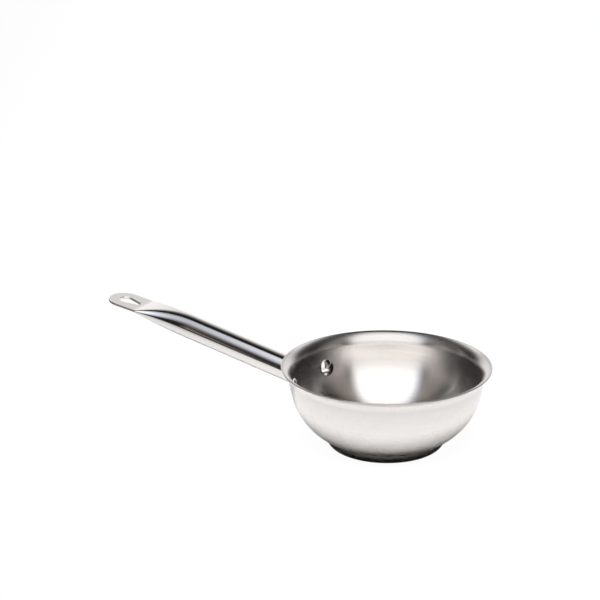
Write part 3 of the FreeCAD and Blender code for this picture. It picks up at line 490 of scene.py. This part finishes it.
def added(tree, first, second):
    """Sum of two vectors or colours."""
    return vector_calc(tree, "ADD", {0: first, 1: second}).outputs[0]


def grey(tree, tone):
    """Colour with the same value in all three channels."""
    return put(tree, "ShaderNodeCombineColor", {0: tone, 1: tone, 2: tone}).outputs[0]


def mix_colour(tree, share, first, second):
    """Mix two colours; the node's colour sockets stand behind those of its other types."""
    sockets = {0: share, 6: first, 7: second}
    return put(tree, "ShaderNodeMix", sockets, data_type="RGBA").outputs[2]


def new_group(name, inputs, outputs):
    """Make a shader node group with named sockets and return its tree and its two end nodes."""
    tree = bpy.data.node_groups.new(name, "ShaderNodeTree")
    for socket, kind in inputs:
        tree.interface.new_socket(socket, in_out="INPUT", socket_type=kind)
    for socket, kind in outputs:
        tree.interface.new_socket(socket, in_out="OUTPUT", socket_type=kind)
    return tree, tree.nodes.new("NodeGroupInput"), tree.nodes.new("NodeGroupOutput")


# Brush lines and broad bands: output, share of the density, stretch round the axis, noise detail
SPUN_NOISES = (("Lines", 1.0, 2.2, 2.0), ("Bands", 0.12, 0.8, 3.0))


def make_spun_lines():
    """Lines that run round the axis: noise that is fine along the section and long round it."""
    tree, given, result = new_group(
        "spun_lines",
        [
            ("Along", "NodeSocketFloat"),
            ("Place", "NodeSocketVector"),
            ("Density", "NodeSocketFloat"),
        ],
        [("Lines", "NodeSocketFloat"), ("Bands", "NodeSocketFloat")],
    )
    flat = vector_calc(tree, "MULTIPLY", {0: given.outputs["Place"], 1: (1, 1, 0)})
    ring = vector_calc(tree, "NORMALIZE", {0: flat.outputs[0]})
    turn = put(tree, "ShaderNodeSeparateXYZ", {0: ring.outputs[0]})
    for output, density_share, stretch, detail in SPUN_NOISES:
        place = put(tree, "ShaderNodeCombineXYZ", {
            0: product(tree, given.outputs["Density"], density_share, given.outputs["Along"]),
            1: product(tree, turn.outputs[0], stretch),
            2: product(tree, turn.outputs[1], stretch),
        })
        noise = put(tree, "ShaderNodeTexNoise", {
            "Vector": place.outputs[0], "Scale": 1.0, "Detail": detail,
        })
        tree.links.new(noise.outputs[0], result.inputs[output])
    return tree


# Marks of use: limits of the smudges, where scratches lie, and the width and run of the scratches
SMUDGE_LIMITS = (0.38, 0.66)
SCRATCHED_LIMITS = (0.5, 0.62)
SCRATCH_WIDTH = 0.012
SCRATCH_SCALE = 1.6
SCRATCH_TURN = (0.3, 0.5, 0.4)
SCRATCH_STRETCH = (1.0, 7.0, 5.0)


def make_use_marks():
    """Soft smudges, and hairline scratches where a stretched noise crosses its middle."""
    tree, given, result = new_group(
        "use_marks",
        [("Place", "NodeSocketVector"), ("Scale", "NodeSocketFloat")],
        [("Smudge", "NodeSocketFloat"), ("Scratch", "NodeSocketFloat")],
    )
    place, scale = given.outputs["Place"], given.outputs["Scale"]
    cloud = put(tree, "ShaderNodeTexNoise", {"Vector": place, "Scale": scale, "Detail": 4.0})
    turned = put(tree, "ShaderNodeMapping", {
        "Vector": place, "Rotation": SCRATCH_TURN, "Scale": SCRATCH_STRETCH,
    })
    hair = put(tree, "ShaderNodeTexNoise", {
        "Vector": turned.outputs[0], "Scale": product(tree, scale, SCRATCH_SCALE), "Detail": 1.0,
    })
    off = calc(tree, "ABSOLUTE", calc(tree, "SUBTRACT", hair.outputs[0], 0.5))
    thin = ramp(tree, off, SCRATCH_WIDTH, 0.0)
    patch = ramp(tree, cloud.outputs[0], *SCRATCHED_LIMITS)
    tree.links.new(ramp(tree, cloud.outputs[0], *SMUDGE_LIMITS), result.inputs["Smudge"])
    tree.links.new(product(tree, thin, patch), result.inputs["Scratch"])
    return tree


spun_lines = make_spun_lines()
use_marks = make_use_marks()

# What lines, smudges and scratches add to the roughness, and the scale of the marks of use
LINE_ROUGHNESS = 0.05
SMUDGE_ROUGHNESS = 0.015
SCRATCH_ROUGHNESS = 0.008
MARK_SCALE = 40.0
BAND_LIMITS = (0.3, 0.7)


def steel_finish(name, tone, roughness, density, line_depth, line_shade,
                 stretch=0.0, fade=None, mapped=True):
    """A steel finish: spun lines and marks of use vary its colour, roughness and fine relief.

    A fade gives two places along the section, and the shares of tone and roughness at the first;
    the share of tone is painted shade.
    A piece that isn't mapped takes its height for the distance along the section.
    """
    material = bpy.data.materials.new(name)
    material.use_nodes = True
    tree = material.node_tree
    shader = tree.nodes["Principled BSDF"]
    shader.inputs["Metallic"].default_value = 1.0
    place = put(tree, "ShaderNodeTexCoord").outputs["Object"]
    if mapped:
        surface = put(tree, "ShaderNodeUVMap", uv_map="surface").outputs[0]
        along = put(tree, "ShaderNodeSeparateXYZ", {0: surface}).outputs[0]
    else:
        along = put(tree, "ShaderNodeSeparateXYZ", {0: place}).outputs[2]
    sockets = {"Along": along, "Place": place, "Density": density}
    lines = put(tree, "ShaderNodeGroup", sockets, node_tree=spun_lines).outputs
    sockets = {"Place": place, "Scale": MARK_SCALE}
    wear = put(tree, "ShaderNodeGroup", sockets, node_tree=use_marks).outputs
    shade = ramp(tree, lines["Bands"], *BAND_LIMITS, 1.0 - line_shade, 1.0)
    rough = roughness
    for effect, strength in (
        (lines["Lines"], LINE_ROUGHNESS),
        (wear["Smudge"], SMUDGE_ROUGHNESS),
        (wear["Scratch"], SCRATCH_ROUGHNESS),
    ):
        rough = calc(tree, "ADD", rough, product(tree, effect, strength))
    if fade:
        start, end, painted_shade_share, rough_share = fade
        # Painted shade: the tone is darker up to the first place and comes up to full at the second
        shade = product(tree, shade, ramp(tree, along, start, end, painted_shade_share, 1.0))
        rough = product(tree, rough, ramp(tree, along, start, end, rough_share, 1.0))
    tree.links.new(scaled(tree, tone, shade), shader.inputs["Base Color"])
    tree.links.new(rough, shader.inputs["Roughness"])
    bump = put(tree, "ShaderNodeBump", {
        "Height": lines["Lines"], "Strength": 1.0, "Distance": line_depth,
    })
    tree.links.new(bump.outputs[0], shader.inputs["Normal"])
    if stretch:
        shader.inputs["Anisotropic"].default_value = stretch
        tangent = put(tree, "ShaderNodeTangent", direction_type="UV_MAP", uv_map="surface")
        tree.links.new(tangent.outputs[0], shader.inputs["Tangent"])
    return material


# Tones of the metals; the rim's darker share and the base's near-black tone are painted shade
STEEL = (0.76, 0.73, 0.71)
# Painted shade: the rim's steel is darkened by this share to stand for darker reflections on the
# rim
RIM_PAINTED_SHADE = 0.66
RIM_STEEL_PAINTED_SHADE = tuple(RIM_PAINTED_SHADE * part for part in STEEL)
# Painted shade: the base's near-black tone stands in for the shadowed floor that the steel base
# mirrors
BASE_STEEL_PAINTED_DARK = (0.10, 0.095, 0.088)
ALUMINIUM = (0.77, 0.78, 0.79)

# Inside of the lip: where its painted shade and coarser finish end, as shares of the brushed part
# of the lip
LIP_RUN = INNER_LIP_RADIUS * math.radians(180.0 - POLISHED_TO) * MM
LIP_FADE_START = 0.4
LIP_FADE_END = 1.1
LIP_PAINTED_SHADE = 0.82
LIP_COARSENESS = 1.15

bowl_line, bowl_rows = bowl_section()
polish_end = run_length(bowl_line)[np.flatnonzero(bowl_rows == RIM)[-1] + 1]
lip_fade = (
    polish_end + LIP_FADE_START * LIP_RUN,
    polish_end + LIP_FADE_END * LIP_RUN,
    LIP_PAINTED_SHADE,
    LIP_COARSENESS,
)

# Finishes, with the density of the lines per metre and their depth in metres
satin_outside = steel_finish(
    "satin_outside", STEEL, roughness=0.24, density=9000.0, line_depth=0.5e-6, line_shade=0.03,
)
brushed_inside = steel_finish(
    "brushed_inside", STEEL, roughness=0.22, density=5000.0, line_depth=1e-6, line_shade=0.04,
    stretch=0.78, fade=lip_fade,
)
# The rim's darker tone is painted shade; only its lower roughness is the polish
polished_rim_painted_shade = steel_finish(
    "polished_rim_painted_shade", RIM_STEEL_PAINTED_SHADE, roughness=0.16, density=7000.0, line_depth=1e-6, line_shade=0.03,
)
# The base's near-black tone is painted shade, not a darker steel
turned_base_painted_shade = steel_finish(
    "turned_base_painted_shade", BASE_STEEL_PAINTED_DARK, roughness=0.24, density=6000.0, line_depth=0.5e-6, line_shade=0.06,
)
polished_rivet = steel_finish(
    "polished_rivet", STEEL, roughness=0.10, density=6000.0, line_depth=1e-6, line_shade=0.04,
)
mirror_handle = steel_finish(
    "mirror_handle", STEEL, roughness=0.05, density=3000.0, line_depth=0.4e-6, line_shade=0.02,
)
satin_saddle = steel_finish(
    "satin_saddle", STEEL, roughness=0.22, density=4000.0, line_depth=1e-6, line_shade=0.04,
    mapped=False,
)
plain_core = steel_finish(
    "plain_core", ALUMINIUM, roughness=0.35, density=4000.0, line_depth=2e-6, line_shade=0.05,
    mapped=False,
)

# Pieces
surface_piece(
    "bowl_shell", [(*spin(bowl_line, ROUND_STEPS), bowl_rows)],
    [satin_outside, brushed_inside, polished_rim_painted_shade], "pan_bowl",
)
section, rows = capsule_section()
surface_piece(
    "base_cup", [(*spin(section, ROUND_STEPS), rows)],
    [turned_base_painted_shade], "base_capsule",
)

section = rivet_section()
rows = np.zeros(len(section) - 1, int)
dip = math.asin((BELLY_HEIGHT - RIVET_HEIGHT) / BELLY_RADIUS)
for side, name in ((1, "left"), (-1, "right")):
    heading = math.radians(180 + side * RIVET_ANGLE)
    origin = (BELLY_CENTRE * math.cos(heading), BELLY_CENTRE * math.sin(heading), BELLY_HEIGHT)
    axis = (math.cos(heading) * math.cos(dip), math.sin(heading) * math.cos(dip), -math.sin(dip))
    surface_piece(
        f"rivet_{name}", [(*spin(section, RIVET_STEPS, origin, axis), rows)],
        [polished_rivet], f"handle_rivet_{name}",
    )
surface_piece(
    "handle_shell", [tube_grid(), *tab_grids()],
    [mirror_handle], "handle_tube",
)

saddle_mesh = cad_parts["handle_saddle"].data.copy()
saddle_mesh.materials.clear()
close_mesh(saddle_mesh, recalculate=False)
place_piece("saddle_bracket", saddle_mesh, [satin_saddle], "handle_saddle")

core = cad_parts["base_core"]
core.data.materials.clear()
core.data.materials.append(plain_core)

# Camera: its angle, and how far the middle of the mouth lies right of and below the centre
CAMERA_AZIMUTH = 29.4
CAMERA_ELEVATION = 20.49
CAMERA_DISTANCE = 2154.6
AIM_HEIGHT = 69.33
PICTURE_SIZE = 600.0
FOCAL_PIXELS = 2600.0
AIM_RIGHT = 86.52 / FOCAL_PIXELS
AIM_DOWN = 65.48 / FOCAL_PIXELS
SENSOR = 36.0
CLIP_END = 20.0

# Directions from the pan: towards the photographed side, to its right, and up
azimuth = math.radians(CAMERA_AZIMUTH)
toward = np.array((math.sin(azimuth), -math.cos(azimuth), 0.0))
right = np.array((math.cos(azimuth), math.sin(azimuth), 0.0))
up = np.array((0.0, 0.0, 1.0))


def make_camera():
    """Turn the camera without roll so that the aim point falls on its place in the picture."""
    camera = bpy.data.objects.new("camera", bpy.data.cameras.new("camera"))
    bpy.context.scene.collection.objects.link(camera)
    elevation = math.radians(CAMERA_ELEVATION)
    away = math.cos(elevation) * toward + math.sin(elevation) * up
    camera.location = Vector((AIM_HEIGHT * up + CAMERA_DISTANCE * away) * MM)
    slant = math.sqrt(1 + AIM_RIGHT ** 2 + AIM_DOWN ** 2)
    aim_pitch = math.asin(slant * math.sin(elevation) / math.sqrt(1 + AIM_DOWN ** 2))
    pitch = aim_pitch - math.atan(AIM_DOWN)
    yaw = math.atan2(AIM_RIGHT, math.cos(pitch) - AIM_DOWN * math.sin(pitch))
    level = -toward * math.cos(yaw) - right * math.sin(yaw)
    forward = level * math.cos(pitch) - up * math.sin(pitch)
    camera.rotation_euler = Vector(forward).to_track_quat("-Z", "Y").to_euler()
    camera.data.sensor_width = SENSOR
    camera.data.lens = SENSOR * FOCAL_PIXELS / PICTURE_SIZE
    camera.data.clip_end = CLIP_END
    bpy.context.scene.camera = camera


make_camera()

# Studio in the first reflection: powers, colours, and limits of the form (measure, from, to)
BOX_FRONT_SHARE = 0.832
BOX_HEIGHT_SHARE = 0.365
BOX_POWER = 1.65
BOX_EDGE_POWER = 0.95
BOX_MIDDLE = (("inside", 0.05, 0.17), ("lift", 0.24, 0.42))
BOX_BOUNDS = (("inside", -0.07, 0.08), ("lift", -0.04, 0.05), ("front", -0.20, 0.0))
BOX_COOL = (("inside", 0.22, 0.06), ("side", 0.0, -0.25))
BOX_COOL_TINT = (0.81, 0.87, 1.0, 1.0)
BACKDROP = ((1.1, 1.1, 1.1), (("heading", -0.62, -0.88), ("lift", 1.15, 0.17)))
WINGS = ((1.0, 1.0, 1.0), (
    ("heading", -0.74, -0.86), ("heading", -0.985, -0.95),
    ("lift", 0.50, 0.62), ("lift", 0.95, 0.75),
))
FRONT_GLOW = ((0.36, 0.325, 0.30), (
    ("inside", 0.07, -0.09), ("heading", -0.10, 0.25), ("lift", 0.25, 0.95),
))
SIDE_GLOW = ((0.48, 0.439, 0.413), (
    ("heading", 0.60, 0.52), ("heading", -0.10, 0.35),
    ("lift", -0.10, 0.06), ("lift", 0.78, 0.05),
))
STRIP_AZIMUTH = math.radians(-100.0)
STRIP_HALF_WIDTH = math.radians(2.0)
STRIP = ((0.9, 0.9, 0.9), (("strip", math.cos(STRIP_HALF_WIDTH), 1.0),))
FAINT_REST = (0.015, 0.015, 0.015)

# Light in the second reflection: (measure, from, to, value at from, value at to)
CEILING = (("lift", 0.56, 0.78), ("heading", -0.45, 0.1), ("heading", 1.0, 0.70, 0.9, 2.7))
BEHIND_NEAR = (0.60, 0.15, 0.0, 0.4)
BEHIND_FAR = (0.1, -0.7, 0.0, 0.6)
REPEAT_POWER = 1.78
BEHIND_LIFT = (0.3, 1.3, REPEAT_POWER, 1.3 * REPEAT_POWER)

# Steps between the first, the second and the further reflections, and the share of light in these
SECOND_DEPTH = (1.4, 1.6)
FURTHER_DEPTH = (2.4, 2.6)
FURTHER_SHARE = 0.05

# What the camera and the floor see of the world, and the least level part of a direction
WHITE = (1.0, 1.0, 1.0, 1.0)
FLOOR_LIGHT = (0.05, 0.05, 0.05, 1.0)
LEAST_LEVEL = 0.02


def within(tree, measures, limits):
    """Product of the smooth steps of several measures of a direction between their limits.

    Front and side are its parts towards the photographed side and to the right of it, lift is its
    height angle in radians, and heading is the cosine of its level angle from the photographed
    side. Inside is the distance within the soft light's sides. Strip is the cosine of its level
    angle from the strip.
    """
    return product(tree, *(ramp(tree, measures[name], *ends) for name, *ends in limits))


def make_studio():
    """World: white to the camera, nearly dark to the floor, and a studio in the reflections.

    The first reflection sees a soft light over the camera that narrows towards the top, a white
    backdrop behind the pan that fades upwards, wings of light above its sides, a warm glow beside
    the soft light, a narrow strip on the left, and dark between them. The second reflection inside
    the bowl sees a ceiling and light from behind, as near walls would give. Further ones are dark.
    """
    world = bpy.data.worlds.new("studio")
    bpy.context.scene.world = world
    world.use_nodes = True
    world.cycles.sampling_method = "NONE"
    tree = world.node_tree
    tree.nodes.clear()
    way = put(tree, "ShaderNodeTexCoord").outputs["Generated"]
    front, side, high = (dot(tree, way, tuple(axis)) for axis in (toward, right, up))
    lift = calc(tree, "ARCSINE", high)
    level = calc(tree, "MAXIMUM", calc(tree, "COSINE", lift), LEAST_LEVEL)
    heading = calc(tree, "DIVIDE", front, level)

    # Distance inside the soft light's slanted sides, and direction of the strip
    slant = (product(tree, front, BOX_FRONT_SHARE), product(tree, high, BOX_HEIGHT_SHARE))
    inside = calc(tree, "SUBTRACT", calc(tree, "ADD", *slant), calc(tree, "ABSOLUTE", side))
    strip = (
        product(tree, side, math.sin(STRIP_AZIMUTH)),
        product(tree, front, math.cos(STRIP_AZIMUTH)),
    )
    strip = calc(tree, "DIVIDE", calc(tree, "ADD", *strip), level)
    measures = {
        "front": front, "side": side, "lift": lift,
        "heading": heading, "inside": inside, "strip": strip,
    }

    # First reflection
    middle = product(tree, within(tree, measures, BOX_MIDDLE), BOX_POWER - BOX_EDGE_POWER)
    box = calc(tree, "ADD", BOX_EDGE_POWER, middle)
    box = product(tree, box, within(tree, measures, BOX_BOUNDS))
    tint = mix_colour(tree, within(tree, measures, BOX_COOL), WHITE, BOX_COOL_TINT)
    light = scaled(tree, tint, box)
    for colour, limits in (BACKDROP, WINGS, FRONT_GLOW, SIDE_GLOW, STRIP):
        light = added(tree, light, scaled(tree, colour, within(tree, measures, limits)))
    light = added(tree, light, FAINT_REST)

    # Second and further reflections
    path = put(tree, "ShaderNodeLightPath").outputs
    behind = calc(tree, "ADD", *(ramp(tree, heading, *ends) for ends in (BEHIND_NEAR, BEHIND_FAR)))
    behind = product(tree, behind, ramp(tree, lift, *BEHIND_LIFT))
    dome = grey(tree, calc(tree, "ADD", within(tree, measures, CEILING), behind))
    light = mix_colour(tree, ramp(tree, path["Glossy Depth"], *SECOND_DEPTH), light, dome)
    fading = ramp(tree, path["Glossy Depth"], *FURTHER_DEPTH, 1.0, FURTHER_SHARE)
    light = scaled(tree, light, fading)

    seen = mix_colour(tree, path["Is Diffuse Ray"], light, FLOOR_LIGHT)
    seen = mix_colour(tree, path["Is Camera Ray"], seen, WHITE)
    background = put(tree, "ShaderNodeBackground", {"Color": seen, "Strength": 1.0})
    output = put(tree, "ShaderNodeOutputWorld")
    tree.links.new(background.outputs[0], output.inputs["Surface"])


make_studio()

# Key light
KEY_ELEVATION = 71.0
KEY_ENERGY = 3.57
KEY_ANGLE = 40.0


def make_key_light():
    """A soft lamp above the camera that lights the floor; the metal mirrors the studio instead."""
    lamp = bpy.data.objects.new("key_light", bpy.data.lights.new("key_light", "SUN"))
    bpy.context.scene.collection.objects.link(lamp)
    lift = math.radians(KEY_ELEVATION)
    way = -(math.cos(lift) * toward + math.sin(lift) * up)
    lamp.rotation_euler = Vector(way).to_track_quat("-Z", "Y").to_euler()
    lamp.data.energy = KEY_ENERGY
    lamp.data.angle = math.radians(KEY_ANGLE)
    lamp.visible_glossy = False


make_key_light()

# Floor: half its size and the places where its tone fades, in metres, its tones and its glow
FLOOR_HALF = 4.0
FLOOR_FADE = (0.19, 0.64)
FLOOR_FAR_SHARE = 0.02
FLOOR_TONES = (0.93, 0.96)
FLOOR_GRAIN_SCALE = 30.0
FLOOR_GRAIN_LIMITS = (0.3, 0.7)
FLOOR_GLOW = 1.04
FLOOR_GLOW_SHARE = 0.93


def make_floor():
    """Floor: a pale sheet, to the camera white with a faint shadow.

    The metal sees it pale near the pan and behind it, and dark further to the front and the sides.
    """
    half = FLOOR_HALF
    corners = [(-half, -half, 0.0), (half, -half, 0.0), (half, half, 0.0), (-half, half, 0.0)]
    mesh = bpy.data.meshes.new("floor")
    mesh.from_pydata(corners, [], [(0, 1, 2, 3)])
    floor = bpy.data.objects.new("floor", mesh)
    bpy.context.scene.collection.objects.link(floor)
    material = bpy.data.materials.new("pale_sheet")
    material.use_nodes = True
    tree = material.node_tree
    tree.nodes.clear()
    place = put(tree, "ShaderNodeTexCoord").outputs["Object"]
    grain = put(tree, "ShaderNodeTexNoise", {
        "Vector": place, "Scale": FLOOR_GRAIN_SCALE, "Detail": 3.0,
    })
    pale = ramp(tree, grain.outputs[0], *FLOOR_GRAIN_LIMITS, *FLOOR_TONES)
    side = dot(tree, place, tuple(right))
    ahead = calc(tree, "MAXIMUM", dot(tree, place, tuple(toward)), 0.0)
    squares = calc(tree, "ADD", product(tree, ahead, ahead), product(tree, side, side))
    fading = ramp(tree, calc(tree, "SQRT", squares), *FLOOR_FADE, 1.0, FLOOR_FAR_SHARE)
    colour = grey(tree, product(tree, pale, fading))
    sheet = put(tree, "ShaderNodeBsdfDiffuse", {"Color": colour})
    glow = put(tree, "ShaderNodeEmission", {"Color": WHITE, "Strength": FLOOR_GLOW})
    path = put(tree, "ShaderNodeLightPath")
    share = product(tree, path.outputs["Is Camera Ray"], FLOOR_GLOW_SHARE)
    mixed = put(tree, "ShaderNodeMixShader", {0: share, 1: sheet.outputs[0], 2: glow.outputs[0]})
    output = put(tree, "ShaderNodeOutputMaterial")
    tree.links.new(mixed.outputs[0], output.inputs["Surface"])
    mesh.materials.append(material)


make_floor()
bpy.context.scene.view_settings.view_transform = "Standard"
